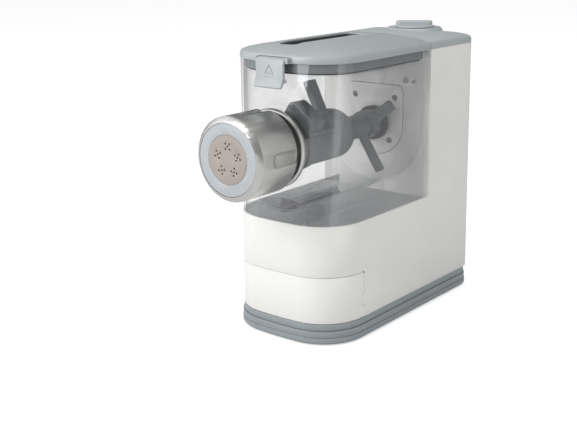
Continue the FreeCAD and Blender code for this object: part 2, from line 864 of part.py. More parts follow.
def make_tube():
    """The grey tube that the screw turns in, with its flange, turning lug and rib."""
    y0 = front_y - collar_tip
    y1 = front_y + tube_rear
    tube = rod_y(tube_radius, y0, y1)
    flange = rod_y(tube_flange_radius, y0 - 4.0, y0)
    lug_start = front_y + collar_inner_reach + 1.5
    lug = box(tube_radius - 6, lug_top_radius, lug_start, lug_start + lug_length,
              axis_height - lug_width / 2, axis_height + lug_width / 2)
    outer = [edge for edge in lug.Edges
             if edge.BoundBox.XMin > lug_top_radius - 0.01 and edge.BoundBox.YLength > 1]
    lug = lug.makeFillet(5.0, outer)
    rim = [edge for edge in lug.Edges if edge.BoundBox.YMax < lug_start + 0.01
           and edge.BoundBox.XMax > tube_radius]
    lug = turn_about_shaft(lug.makeFillet(1.5, rim), lug_angle)
    rib = box(tube_radius - 6, rib_top_radius, lug_start, y1,
              axis_height - rib_width / 2, axis_height + rib_width / 2)
    rib = turn_about_shaft(rib, rib_angle)
    whole = join([tube, flange, lug, rib]).cut(rod_y(tube_bore, y0 - 5, y1 + 1))
    feed_window = box(-feed_window_width / 2, feed_window_width / 2, front_y + feed_window_start, y1 + 1,
                      axis_height - tube_radius - 1, axis_height - tube_bore * 0.5)
    return whole.cut(feed_window)


# Nozzle: collar, ring, shaping disc and grip nut

def make_collar():
    """The metal collar in the chamber's front wall that the nut screws on to."""
    tip = front_y - collar_tip
    thread = rod_y(collar_thread_radius, tip, tip + collar_thread_length)
    barrel = rod_y(collar_radius, tip + 1, front_y + collar_inner_reach)
    flange_back = front_y + chamber_inset - 0.1
    flange = rod_y(collar_flange_radius, flange_back - collar_flange_thickness, flange_back)
    rim = [edge for edge in flange.Edges if edge.BoundBox.YLength < 0.01]
    flange = flange.makeChamfer(1.5, rim)
    collar = join([thread, barrel, flange])
    return collar.cut(rod_y(tube_radius + 0.2, tip - 1, front_y + collar_inner_reach + 1))


def nozzle_face():
    return front_y - nozzle_reach


def make_ring():
    """The light ring that holds the shaping disc, stepped behind the nut's lip."""
    y0 = nozzle_face() + 0.2
    y1 = y0 + ring_thickness
    shoulder = nozzle_face() + nut_lip_thickness + part_gap
    front = rod_y(nut_lip_radius - part_gap, y0, shoulder + 1)
    back = rod_y(collar_thread_radius, shoulder, y1)
    ring = join([front, back])
    ring = ring.cut(rod_y(disc_radius + part_gap / 2, y0 - 1, y1 + 1))
    return ring.cut(rod_y(disc_radius + 4.4, y0 + 6, y1 + 1))


def hole_places():
    """Holes of the shaping disc: one in the middle of each cluster and four round it."""
    places = []
    for cluster in range(cluster_count):
        angle = 90.0 + cluster * 360.0 / cluster_count
        centre = polar(cluster_radius, angle)
        places.append(centre)
        for index in range(4):
            turn = math.radians(angle + 45 + index * 90)
            places.append(centre + V(hole_pitch * math.cos(turn), 0, hole_pitch * math.sin(turn)))
    return places


def make_disc():
    """A cup with a drilled face, held by its rim behind the ring."""
    y0 = nozzle_face() + 0.3
    rim_start = nozzle_face() + 0.2 + 6 + 0.2
    y1 = nozzle_face() + 0.2 + ring_thickness
    disc = join([rod_y(disc_radius, y0, y1), rod_y(disc_radius + 4.0, rim_start, y1)])
    disc = disc.cut(rod_y(disc_cup_radius, y0 + disc_face_thickness, y1 + 1))
    holes = [rod_y(hole_radius, y0 - 1, y0 + disc_face_thickness + 1, place.x, place.z)
             for place in hole_places()]
    return disc.cut(holes)


def make_nut():
    """The turned steel nut, bevelled in front, with four finger dents open to its rear edge."""
    y0 = nozzle_face()
    y1 = front_y - nut_rear
    outline = [V(nut_lip_radius, y0, 0), V(nut_radius, y0 + nut_bevel, 0), V(nut_radius, y1 - 1, 0),
               V(nut_radius - 1, y1, 0), V(collar_thread_radius + part_gap, y1, 0),
               V(collar_thread_radius + part_gap, y0 + nut_lip_thickness, 0),
               V(nut_lip_radius, y0 + nut_lip_thickness, 0), V(nut_lip_radius, y0, 0)]
    nut = Part.Face(Part.makePolygon(outline)).revolve(V(0, 0, 0), V(0, 1, 0), 360)
    nut.translate(V(0, 0, axis_height))
    tools = []
    for index in range(dent_count):
        centre = polar(nut_radius + dent_radius - dent_depth, index * 360.0 / dent_count)
        y_round = y1 - dent_length
        tools.append(rod_y(dent_radius, y_round, y1 + 1, centre.x, centre.z))
        tools.append(Part.makeSphere(dent_radius, V(centre.x, y_round, centre.z)))
    return nut.cut(tools)


# Clear chamber and mixing tub

def make_chamber():
    """The smoky outer wall, D-shaped in plan, with a rear wall and the lid's two ears."""
    low = deck_height + part_gap
    rear = front_y + chamber_rear
    wall = body_prism(chamber_inset, low, chamber_top).common(ahead_of(rear))
    hollow = body_prism(chamber_inset + chamber_wall, low - 1, chamber_top + 1)
    wall = wall.cut(hollow.common(ahead_of(rear - chamber_wall)))
    swing = math.hypot(hinge_sweep_radius, hinge_z - rim_bottom) + 0.5
    lid_room = box(-beyond, beyond, rear - chamber_wall - hinge_sweep_radius - 1, beyond,
                   hinge_z - swing, beyond)
    wall = wall.cut(lid_room)
    ears = []
    for side in (-1, 1):
        x = side * ear_spacing / 2
        y = front_y + hinge_y
        stem = box(x - ear_width / 2, x + ear_width / 2, y - ear_radius, y + ear_radius - 0.4,
                   hinge_z - swing - 4, hinge_z)
        eye = rod_x(ear_radius, x - ear_width / 2, x + ear_width / 2, y, hinge_z)
        ears += [stem, eye]
    bead_low = latch_low + latch_hook_rise
    bead = box(-bead_width / 2, bead_width / 2, front_y - 1.0, front_y + 1.6,
               bead_low, bead_low + bead_height)
    wall = wall.fuse(ears + [bead])
    hole = rod_x(hinge_pin_radius + shaft_gap, -beyond, beyond, front_y + hinge_y, hinge_z)
    locators = box(locator_x - 5, locator_x + locator_step + 4, rear - chamber_wall - 1, rear + 1,
                   locator_z - 5, locator_z + 5)
    front_hole = rod_y(collar_radius + 0.1, front_y - 5, front_y + 20)
    rear_hole = rod_y(seal_hole_radius, rear - 10, rear + 10)
    return wall.cut([hole, locators, front_hole, rear_hole]).removeSplitter()


def trough(radius, inset, y0, y1):
    """A half-round bottom with upright sides, kept inside the plan outline."""
    round_part = rod_y(radius, y0, y1)
    upright = box(-radius, radius, y0, y1, axis_height, skirt_bottom + 5)
    limit = body_prism(inset, deck_height, skirt_bottom - 2)
    return join([round_part, upright]).common(limit)


def make_tub():
    """The clear trough that the dough is mixed in: a half-round bottom about the shaft, with two
    ribs down to the deck."""
    y0 = front_y
    y1 = front_y + chamber_rear - chamber_wall - 0.2
    inset = chamber_inset + chamber_wall + 0.2
    tub = trough(tub_radius + tub_wall, inset, y0, y1)
    ribs = []
    for side in (-1, 1):
        x = side * rib_spacing / 2
        rib = box(x - rib_thickness / 2, x + rib_thickness / 2, front_y + 10, y1 - 20,
                  deck_height + part_gap, axis_height - tub_radius * 0.8)
        ribs.append(rib)
    cross = box(-rib_spacing / 2, rib_spacing / 2, front_y + 40, front_y + 40 + rib_thickness,
                deck_height + part_gap, axis_height - tub_radius - 1)
    tub = tub.fuse(ribs + [cross])
    lip = body_prism(inset, skirt_bottom - 2 - tub_rim_height, skirt_bottom - 2).common(ahead_of(y1))
    tub = tub.fuse(lip)
    hollow = trough(tub_radius, inset + tub_wall, y0, beyond)
    front_hole = rod_y(collar_radius + 0.1, front_y, front_y + 20)
    return tub.cut([hollow, front_hole]).removeSplitter()


# Lid with skirt, gasket, pouring chute, hinge pin and latch

def slot_slab(margin, z0, z1):
    x0 = slot_x - slot_width / 2 - margin
    y0 = front_y + slot_front - margin
    return rounded_slab(x0, x0 + slot_width + 2 * margin, y0, y0 + slot_length + 2 * margin,
                        z0, z1, 6.0 + margin)


def ear_notches():
    """Room behind and over each ear, so the lid swings past it."""
    notches = []
    for side in (-1, 1):
        x = side * ear_spacing / 2
        notches.append(box(x - ear_width / 2 - 0.5, x + ear_width / 2 + 0.5,
                           front_y + hinge_y - ear_radius - 1.2, front_y + tower_setback,
                           gasket_low - 1, hinge_z + ear_radius + 0.6))
    return notches


def make_lid():
    """The grey lid: a crowned shell whose rear edge is round about the hinge."""
    rear = front_y + hinge_y + hinge_sweep_radius
    shell = crowned_top(0, 0, rim_bottom).common(ahead_of(rear))
    hollow = crowned_top(lid_wall, lid_wall, rim_bottom - 2).common(ahead_of(rear - lid_wall))
    shell = shell.cut(hollow)
    pivot_y = front_y + hinge_y
    corner = box(-beyond, beyond, pivot_y, pivot_y + 20, hinge_z, hinge_z + 20)
    corner = corner.cut(rod_x(hinge_sweep_radius, -beyond, beyond, pivot_y, hinge_z))
    bosses = []
    for side in (-1, 1):
        x = side * (ear_spacing / 2 + ear_width / 2 + 3.5)
        bosses.append(box(x - 2, x + 2, pivot_y - 2.2, rear - 0.5, rim_bottom + 3, hinge_z + 3.2))
    shell = shell.fuse(bosses).cut(corner)
    shell = shell.cut(slot_slab(0.2, rim_bottom - 5, crown_height + 5))
    shell = shell.cut(ear_notches())
    pin_way = rod_x(hinge_pin_radius, -beyond, beyond, pivot_y, hinge_z)
    latch_room = box(-latch_width / 2 - part_gap, latch_width / 2 + part_gap,
                     front_y - 5, front_y + 1.9, rim_bottom - 1, latch_pivot_z + 3.1)
    latch_way = rod_x(latch_pin_radius, -latch_width / 2 - 4, latch_width / 2 + 4,
                      front_y + latch_pivot_y, latch_pivot_z)
    cheeks = []
    for side in (-1, 1):
        x = side * (latch_width / 2 + part_gap + cheek_width / 2)
        cheeks.append(box(x - cheek_width / 2, x + cheek_width / 2, front_y - cheek_reach,
                          front_y + lid_wall + part_gap, rim_bottom, latch_pivot_z + 3.0))
    shell = shell.cut(latch_room).fuse(cheeks)
    return shell.cut([pin_way, latch_way]).removeSplitter()


def make_skirt():
    """The darker ring under the lid's rim that stands inside the chamber's mouth."""
    top = rim_bottom + skirt_rise
    skirt = body_band(skirt_inset, skirt_wall, skirt_bottom + part_gap, top)
    end_y = front_y + hinge_y - ear_radius - 0.6
    skirt = skirt.common(ahead_of(end_y))
    across = body_prism(skirt_inset + skirt_wall - 0.5, skirt_bottom + part_gap, top)
    across = across.common(box(-beyond, beyond, end_y - skirt_wall, end_y, 0, beyond))
    return join([skirt, across]).cut(ear_notches())


def make_gasket():
    inset = skirt_inset + skirt_wall
    end_y = front_y + hinge_y - ear_radius - 0.6 - skirt_wall
    band = body_prism(inset, gasket_low, gasket_low + gasket_height).common(ahead_of(end_y))
    hollow = body_prism(inset + gasket_width, gasket_low - 1, gasket_low + gasket_height + 1)
    return band.cut(hollow.common(ahead_of(end_y - gasket_width)))


def make_chute():
    """The dark funnel under the pouring slot."""
    top = crown_height - 1.2
    chute = slot_slab(0.0, top - chute_depth, top)
    chute = chute.cut(slot_slab(-chute_wall, top - chute_depth - 1, top + 1))
    return chute


def make_hinge_pin():
    reach = ear_spacing / 2 + ear_width / 2 + 5.3
    return rod_x(hinge_pin_radius, -reach, reach, front_y + hinge_y, hinge_z)


def make_latch():
    """A plate that hangs from a pin in the lid, with a flared lower lip and a small tooth."""
    w = latch_width / 2
    y = front_y
    out = latch_front
    mid_z = latch_low + 9
    face = [V(-w, y + latch_pivot_y, latch_pivot_z + latch_barrel_radius),
            V(-w, y - out + 1.6, latch_pivot_z + 1.4), V(-w, y - out, latch_pivot_z - 3),
            V(-w, y - out, mid_z), V(-w, y - out - latch_lip, latch_low + 1.5),
            V(-w, y - out - latch_lip + 1.2, latch_low), V(-w, y - out + latch_thickness, mid_z - 3),
            V(-w, y - latch_tooth - 0.2, mid_z - 4), V(-w, y - latch_tooth - 0.2, mid_z - 1.5),
            V(-w, y - out + latch_thickness, mid_z + 0.5),
            V(-w, y - out + latch_thickness, latch_pivot_z - latch_barrel_radius),
            V(-w, y + latch_pivot_y, latch_pivot_z - latch_barrel_radius),
            V(-w, y + latch_pivot_y, latch_pivot_z + latch_barrel_radius)]
    plate = Part.Face(Part.makePolygon(face)).extrude(V(latch_width, 0, 0))
    barrel = rod_x(latch_barrel_radius, -w, w, y + latch_pivot_y, latch_pivot_z)
    low_corners = [edge for edge in plate.Edges
                   if edge.BoundBox.XLength < 0.01 and edge.BoundBox.ZMax < latch_low + 1.6]
    plate = plate.makeFillet(0.8, low_corners) if low_corners else plate
    latch = join([plate, barrel])
    way = rod_x(latch_pin_radius + shaft_gap, -w - 1, w + 1, y + latch_pivot_y, latch_pivot_z)
    return latch.cut(way)


def make_latch_pin():
    reach = latch_width / 2 + 2.6
    return rod_x(latch_pin_radius, -reach, reach, front_y + latch_pivot_y, latch_pivot_z)


# Rear cap, selector knob, switch and control board

def knob_centre():
    return V(knob_x, front_y + knob_y, 0)


def cap_height_at_knob():
    return crown_height - 0.3


def make_rear_cap():
    """The grey cap over the tower, with the round dais of the selector."""
    start = tower_y + lid_seam_gap - 0.4
    shell = crowned_top(0, 0, rim_bottom).common(behind(start))
    hollow = crowned_top(cap_wall, cap_wall, rim_bottom - 2).common(behind(start + cap_wall))
    centre = knob_centre()
    dais = Part.makeCone(dais_radius, dais_radius - 2.5, dais_height + 2,
                         V(centre.x, centre.y, cap_height_at_knob() - 2))
    cap = shell.cut(hollow).fuse(dais.common(body_prism(1.5, 0, beyond)))
    room = crowned_top(cap_wall / 2, cap_wall / 2, board_height - 1)
    for x, y in board_post_places():
        post = rod_z(board_post_radius, x, y, board_height + board_thickness, crown_height)
        cap = cap.fuse(post.common(room))
    return cap.cut(rod_z(spindle_radius + 0.6, centre.x, centre.y, 0, beyond)).removeSplitter()


def board_post_places():
    x = board_half_width - 6
    return [(side * x, front_y + y) for side in (-1, 1) for y in (board_front + 6, board_rear - 6)]


def make_knob():
    """A round plate with a bar grip across it, hollowed for the spindle."""
    centre = knob_centre()
    low = cap_height_at_knob() + dais_height + part_gap
    plate = rod_z(knob_radius, centre.x, centre.y, low, low + knob_plate)
    rim = [edge for edge in plate.Edges if edge.BoundBox.ZMin > low + knob_plate - 0.01]
    plate = plate.makeChamfer(0.8, rim)
    half = grip_length / 2
    grip = rounded_slab(-half, half, -grip_width / 2, grip_width / 2, low, low + grip_height,
                        grip_width * 0.45)
    top = [edge for edge in grip.Edges if edge.BoundBox.ZMin > low + grip_height - 0.01]
    grip = grip.makeChamfer(1.2, top)
    grip.rotate(V(0, 0, 0), V(0, 0, 1), grip_angle)
    grip.translate(centre)
    knob = join([plate, grip])
    return knob.cut(rod_z(spindle_radius, centre.x, centre.y, low - 1, low + grip_height - 2))


def make_spindle():
    centre = knob_centre()
    top = cap_height_at_knob() + dais_height + part_gap + grip_height - 2
    return rod_z(spindle_radius, centre.x, centre.y, top - spindle_length, top)


def make_switch():
    """The rotary switch that the knob turns, on the board under the cap."""
    centre = knob_centre()
    half = switch_size / 2
    low = board_height + board_thickness
    block = rounded_slab(centre.x - half, centre.x + half, centre.y - half, centre.y + half,
                         low, low + switch_height, 3.0)
    neck = rod_z(spindle_radius + 2.5, centre.x, centre.y, low + switch_height - 1,
                 low + switch_height + 4)
    return join([block, neck]).cut(rod_z(spindle_radius + shaft_gap, centre.x, centre.y, low + 2, beyond))


def make_board():
    """The control board with its relay and capacitor."""
    w = board_half_width
    y0 = front_y + board_front
    y1 = front_y + board_rear
    board = box(-w, w, y0, y1, board_height, board_height + board_thickness)
    relay = box(-w + 12, -w + 30, y0 + 8, y0 + 24, board_height - 14, board_height + 0.2)
    capacitor = rod_z(7, w - 22, y0 + 16, board_height - 20, board_height + 0.2)
    return join([board, relay, capacitor])


# Mains inlet

def inlet_window():
    w = inlet_width / 2 + 0.1
    h = inlet_height / 2 + 0.1
    return box(inlet_x - w, inlet_x + w, back_y - shell_wall - 2, back_y + 2, inlet_z - h, inlet_z + h)


def make_inlet():
    """A two-pin inlet set flush in the rear wall."""
    w = inlet_width / 2
    h = inlet_height / 2
    y1 = back_y - 0.2
    y0 = y1 - inlet_depth
    block = box(inlet_x - w, inlet_x + w, y0, y1, inlet_z - h, inlet_z + h)
    flange = box(inlet_x - w - 3, inlet_x + w + 3, back_y - shell_wall - 2.2, back_y - shell_wall,
                 inlet_z - h - 3, inlet_z + h + 3)
    body = join([block, flange])
    recess = box(inlet_x - w + inlet_rim, inlet_x + w - inlet_rim, y1 - inlet_recess, y1 + 1,
                 inlet_z - h + inlet_rim, inlet_z + h - inlet_rim)
    body = body.cut(round_edges_along_y(recess, 5.0))
    pins = [rod_y(inlet_pin_radius, y1 - inlet_recess - 1, y1 - 4.8,
                  inlet_x + side * inlet_pin_spacing / 2, inlet_z) for side in (-1, 1)]
    return join([body] + pins)


makers = {
    "base_tray": make_base,
    "rubber_feet": make_feet,
    "base_screws": make_base_screws,
    "main_housing": make_housing,
    "deck_plate": make_deck,
    "drawer_front": make_drawer_front,
    "drawer_tray": make_drawer_tray,
    "drawer_runners": make_runners,
    "drive_panel": make_panel,
    "panel_screws": make_panel_screws,
    "chamber_locators": make_locators,
    "shaft_seal": make_seal,
    "output_gear": make_output_gear,
    "step_gear": make_step_gear,
    "step_axle": make_step_axle,
    "output_shaft": make_output_shaft,
    "front_bearing": make_front_bearing,
    "rear_bearing": make_rear_bearing,
    "gearbox_front_plate": make_front_plate,
    "gearbox_rear_plate": make_rear_plate,
    "gearbox_pillars": make_pillars,
    "motor_can": make_motor_can,
    "motor_end_cap": make_motor_cap,
    "motor_rotor": make_rotor,
    "motor_cradle": make_cradle,
    "feed_screw": make_feed_screw,
    "mixing_paddle": make_paddle,
    "extrusion_tube": make_tube,
    "front_collar": make_collar,
    "disc_ring": make_ring,
    "shaping_disc": make_disc,
    "grip_nut": make_nut,
    "chamber_wall": make_chamber,
    "mixing_tub": make_tub,
    "lid": make_lid,
    "lid_skirt": make_skirt,
    "lid_gasket": make_gasket,
    "pouring_chute": make_chute,
    "lid_hinge_pin": make_hinge_pin,
    "latch": make_latch,
    "latch_pin": make_latch_pin,
    "rear_cap": make_rear_cap,
    "control_knob": make_knob,
    "knob_spindle": make_spindle,
    "selector_switch": make_switch,
    "control_board": make_board,
    "mains_inlet": make_inlet,
}

os.makedirs("parts", exist_ok=True)
for name, maker in makers.items():
    maker().exportStep(os.path.join("parts", name + ".step"))
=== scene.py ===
import json
import math
import bmesh
import bpy
from mathutils import Matrix, Vector

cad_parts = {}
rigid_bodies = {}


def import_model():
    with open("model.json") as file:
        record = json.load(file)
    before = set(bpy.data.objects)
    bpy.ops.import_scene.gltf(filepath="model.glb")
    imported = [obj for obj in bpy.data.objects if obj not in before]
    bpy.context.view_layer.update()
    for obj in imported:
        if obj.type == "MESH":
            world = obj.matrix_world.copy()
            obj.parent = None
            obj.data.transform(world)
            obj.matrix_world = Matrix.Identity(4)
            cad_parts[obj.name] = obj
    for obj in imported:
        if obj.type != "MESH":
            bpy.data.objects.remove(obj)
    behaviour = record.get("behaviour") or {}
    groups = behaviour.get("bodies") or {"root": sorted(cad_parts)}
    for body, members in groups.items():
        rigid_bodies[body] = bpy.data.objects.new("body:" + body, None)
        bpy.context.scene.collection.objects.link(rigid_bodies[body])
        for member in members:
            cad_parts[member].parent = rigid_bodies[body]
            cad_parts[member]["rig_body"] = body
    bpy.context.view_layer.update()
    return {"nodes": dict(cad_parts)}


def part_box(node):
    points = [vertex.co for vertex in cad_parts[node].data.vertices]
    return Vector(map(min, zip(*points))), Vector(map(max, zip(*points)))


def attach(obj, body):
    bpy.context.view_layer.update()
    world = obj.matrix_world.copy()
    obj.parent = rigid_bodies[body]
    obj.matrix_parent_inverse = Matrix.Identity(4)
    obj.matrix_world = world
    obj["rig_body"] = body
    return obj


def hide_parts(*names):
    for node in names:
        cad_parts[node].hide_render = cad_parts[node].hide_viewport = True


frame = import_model()
nodes = frame["nodes"]
mm = 0.001

# The white shell: an L-shaped housing, moulded in ABS and left with a fine satin skin, and the
# drawer front cut from the same curve. The shell stands in the grey base; the drawer front is
# clipped to its tray and wraps both front corners. The edges have the small radius of a mould.
shell_white = "#EDEDEA"
shell_shade = "#E4E4E1"
shell_grain_mm = 0.6
shell_edge = 0.7 * mm
drawer_edge = 0.35 * mm
grain_height = 0.05 * mm
weld_distance = 0.002 * mm
flat_degrees = 0.4


def linear(hex_colour):
    """A hex sRGB colour as linear red, green, blue and alpha."""
    parts = [int(hex_colour[i:i + 2], 16) / 255 for i in (1, 3, 5)]
    return [p / 12.92 if p <= 0.04045 else ((p + 0.055) / 1.055) ** 2.4 for p in parts] + [1.0]


def add(material, kind, values=None, links=None, **settings):
    """Adds a node to a material, with its settings, input values and incoming links."""
    node = material.node_tree.nodes.new(kind)
    for field, value in settings.items():
        setattr(node, field, value)
    for name, value in (values or {}).items():
        node.inputs[name].default_value = value
    for name, source in (links or {}).items():
        material.node_tree.links.new(source, node.inputs[name])
    return node


def moulded(name, colour, shade, grain_mm, roughness, bump=0.03, ior=1.5, cloud_mm=45.0):
    """A moulded plastic: two close tones in soft clouds under a fine eroded grain."""
    material = bpy.data.materials.new(name)
    material.use_nodes = True
    shader = material.node_tree.nodes["Principled BSDF"]
    place = add(material, "ShaderNodeTexCoord").outputs["Object"]
    cloud = add(material, "ShaderNodeTexNoise", {"Scale": 1000 / cloud_mm, "Detail": 2.0},
                {"Vector": place})
    tone = add(material, "ShaderNodeMix", {"A": linear(shade), "B": linear(colour)},
               {"Factor": cloud.outputs["Fac"]}, data_type="RGBA")
    grain = add(material, "ShaderNodeTexNoise", {"Scale": 1000 / grain_mm, "Detail": 1.0},
                {"Vector": place})
    relief = add(material, "ShaderNodeBump", {"Strength": bump, "Distance": grain_height},
                 {"Height": grain.outputs["Fac"]})
    material.node_tree.links.new(tone.outputs["Result"], shader.inputs["Base Color"])
    material.node_tree.links.new(relief.outputs["Normal"], shader.inputs["Normal"])
    shader.inputs["Roughness"].default_value = roughness
    shader.inputs["IOR"].default_value = ior
    return material


def finish_piece(node, material, edge=0.3 * mm, keep_angle=32.0):
    """A finished copy of a moulded or turned piece: its facets merged and its edges rounded."""
    source = nodes[node]
    mesh = source.data.copy()
    shape = bmesh.new()
    shape.from_mesh(mesh)
    bmesh.ops.remove_doubles(shape, verts=shape.verts, dist=weld_distance)
    bmesh.ops.dissolve_limit(shape, angle_limit=math.radians(flat_degrees), verts=shape.verts,
                             edges=shape.edges, delimit={"NORMAL"})
    shape.to_mesh(mesh)
    shape.free()
    mesh.materials.clear()
    mesh.materials.append(material)
    mesh.shade_smooth()
    piece = bpy.data.objects.new(node + "_finished", mesh)
    bpy.context.scene.collection.objects.link(piece)
    if edge:
        rounding = piece.modifiers.new("mould_radius", "BEVEL")
        rounding.width = edge
        rounding.segments = 2
        rounding.limit_method = "ANGLE"
        rounding.angle_limit = math.radians(keep_angle)
        rounding.harden_normals = True
    else:
        mesh.set_sharp_from_angle(angle=math.radians(keep_angle))
    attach(piece, source["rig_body"])
    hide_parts(node)
    return piece


def paint(material, *names):
    """Gives a finish to pieces that keep their plain shape."""
    for name in names:
        mesh = nodes[name].data
        mesh.materials.clear()
        mesh.materials.append(material)


white_abs = moulded("abs_satin_white", shell_white, shell_shade, grain_mm=shell_grain_mm,
                    roughness=0.33)
finish_piece("main_housing", white_abs, edge=shell_edge)
finish_piece("drawer_front", white_abs, edge=drawer_edge)

# The base: a tray in three stepped bands, moulded in mid grey polypropylene, screwed to the shell
# from below, on four rubber feet. The bands catch the light one under another.
base_grey = moulded("polypropylene_mid_grey", "#949B9F", "#8A9195", grain_mm=0.9, roughness=0.42)
finish_piece("base_tray", base_grey, edge=0.4 * mm)
rubber = moulded("rubber_dark_grey", "#2B2C2D", "#242526", grain_mm=1.2, roughness=0.8, bump=0.1)
paint(rubber, "rubber_feet")

# The deck under the chamber and the storage drawer: both moulded in cool grey ABS. The deck lies
# just below the shell's rim; the drawer's tray slides on two rails on the base.
deck_grey = moulded("abs_cool_grey", "#A3A6A8", "#9B9EA0", grain_mm=0.8, roughness=0.4)
finish_piece("deck_plate", deck_grey, edge=0.3 * mm)
finish_piece("drawer_tray", deck_grey, edge=0.4 * mm)
paint(deck_grey, "drawer_runners")

# The drive panel: a shield of the shell's own white plastic on the tower's front wall, held by
# four recessed screws of zinc-plated steel. A thin dark grey strip of painted shade runs round its edge.
seam_width = 0.55 * mm
seam_depth = 0.25 * mm
seam_steps = 16
seam_lift = 0.02 * mm
shield_corner = 7.0 * mm
polish_spread = 0.2


def metal(name, colour, roughness, scratch_mm, anisotropy=0.0):
    """A bare metal whose polish varies in fine marks."""
    material = bpy.data.materials.new(name)
    material.use_nodes = True
    shader = material.node_tree.nodes["Principled BSDF"]
    place = add(material, "ShaderNodeTexCoord").outputs["Object"]
    marks = add(material, "ShaderNodeTexNoise", {"Scale": 1000 / scratch_mm, "Detail": 3.0},
                {"Vector": place})
    polish = add(material, "ShaderNodeMapRange",
                 {"To Min": roughness * (1 - polish_spread), "To Max": roughness * (1 + polish_spread)},
                 {"Value": marks.outputs["Fac"]})
    material.node_tree.links.new(polish.outputs["Result"], shader.inputs["Roughness"])
    shader.inputs["Base Color"].default_value = linear(colour)
    shader.inputs["Metallic"].default_value = 1.0
    shader.inputs["Anisotropic"].default_value = anisotropy
    return material


def shield_outline(half_width, low, high, corner):
    """Points round the shield, from the lower arc's left end over the top to its right end."""
    points = []
    for side in (-1, 1):
        centre = Vector((side * (half_width - corner), 0, high - corner))
        for step in range(seam_steps + 1):
            start = 180 if side < 0 else 90
            angle = math.radians(start - 90 * step / seam_steps)
            points.append(centre + corner * Vector((math.cos(angle), 0, math.sin(angle))))
    for step in range(3 * seam_steps + 1):
        angle = -math.pi * step / (3 * seam_steps)
        points.append(Vector((half_width * math.cos(angle), 0, low + half_width * math.sin(angle))))
    return points


def strip_round(name, points, width, front, back, material):
    """A closed thin strip laid round an outline in a plane across the shaft."""
    shape = bmesh.new()
    middle = sum(points, Vector()) / len(points)
    rings = []
    for offset in (0.0, width):
        ring = []
        for point in points:
            outward = (point - middle).normalized() * offset
            ring.append(shape.verts.new((point.x + outward.x, front, point.z + outward.z)))
        rings.append(ring)
    edges = []
    for ring in rings:
        for index in range(len(ring)):
            edges.append(shape.edges.new((ring[index], ring[(index + 1) % len(ring)])))
    faces = bmesh.ops.bridge_loops(shape, edges=edges)["faces"]
    grown = bmesh.ops.extrude_face_region(shape, geom=faces)["geom"]
    moved = [item for item in grown if isinstance(item, bmesh.types.BMVert)]
    bmesh.ops.translate(shape, verts=moved, vec=(0, back - front, 0))
    bmesh.ops.remove_doubles(shape, verts=shape.verts, dist=0.001 * mm)
    bmesh.ops.recalc_face_normals(shape, faces=shape.faces)
    mesh = bpy.data.meshes.new(name)
    shape.to_mesh(mesh)
    shape.free()
    mesh.materials.append(material)
    piece = bpy.data.objects.new(name, mesh)
    bpy.context.scene.collection.objects.link(piece)
    return piece


panel_low, panel_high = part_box("drive_panel")
finish_piece("drive_panel", white_abs, edge=0.3 * mm)
# The strip round the shield is painted dark grey: painted shade for the shadow that falls in the gap.
seam_painted_shade = moulded("gap_painted_shade", "#5B5D5E", "#545657", grain_mm=1.0, roughness=0.7)
shield_half = panel_high.x
shaft_z = panel_low.z + shield_half
seam = strip_round("panel_gap_painted_shade", shield_outline(shield_half, shaft_z, panel_high.z, shield_corner),
                   seam_width, panel_high.y - seam_depth, panel_high.y - seam_lift, seam_painted_shade)
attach(seam, "housing")
zinc = metal("steel_zinc_plated", "#A9ABAD", roughness=0.35, scratch_mm=2.0)
finish_piece("panel_screws", zinc, edge=0.15 * mm)
locator_grey = moulded("abs_warm_grey", "#9C9B9A", "#939291", grain_mm=0.8, roughness=0.45)
finish_piece("chamber_locators", locator_grey, edge=0.2 * mm)

# The shaft seal and the drive hub: a black rubber lip ring round a dark nylon hub with a square
# socket. The ring's groove and the hub's rim show through the chamber.
seal_black = moulded("rubber_black", "#161718", "#1C1D1E", grain_mm=1.0, roughness=0.45)
finish_piece("shaft_seal", seal_black, edge=0.4 * mm)
hub_grey = moulded("nylon_dark_grey", "#4B4D4E", "#434546", grain_mm=0.8, roughness=0.4)
finish_piece("output_shaft", hub_grey, edge=0.3 * mm)

# The drive inside the tower: acetal gears between two pressed steel plates on pillars, and a
# small motor in a black saddle. None of it shows with the machine closed.
acetal = moulded("acetal_natural", "#DEDBD0", "#D6D3C8", grain_mm=1.0, roughness=0.4)
paint(acetal, "output_gear", "step_gear")
bright_steel = metal("steel_bright", "#B9BABB", roughness=0.28, scratch_mm=3.0)
paint(bright_steel, "step_axle", "front_bearing", "rear_bearing", "motor_rotor", "knob_spindle",
      "gearbox_front_plate", "gearbox_rear_plate", "gearbox_pillars", "base_screws",
      "lid_hinge_pin", "latch_pin")
motor_steel = metal("steel_phosphated", "#77797B", roughness=0.45, scratch_mm=4.0)
paint(motor_steel, "motor_can")
black_nylon = moulded("nylon_black", "#1D1E1F", "#232425", grain_mm=0.9, roughness=0.5)
paint(black_nylon, "motor_end_cap", "motor_cradle", "selector_switch")
board_green = moulded("epoxy_board_green", "#1F5B3A", "#1B5034", grain_mm=2.0, roughness=0.5)
paint(board_green, "control_board")

# The working parts: extrusion tube, feed screw and mixing paddle, moulded in dark grey
# glass-filled nylon with a dull skin. The tube's lug turns it out of the chamber's front wall.
dark_nylon = moulded("nylon_glass_filled_dark_grey", "#5C6263", "#53595A", grain_mm=0.7,
                     roughness=0.42, bump=0.06)
finish_piece("extrusion_tube", dark_nylon, edge=0.5 * mm)
finish_piece("mixing_paddle", dark_nylon, edge=0.4 * mm)
paint(dark_nylon, "feed_screw")

# The mixing chamber: an outer wall and an inner trough, both injected in smoke-tinted clear
# SAN plastic, polished, 2 to 2.5 mm thick. The trough rests inside the wall on two ribs.
grazing_power = 5.0


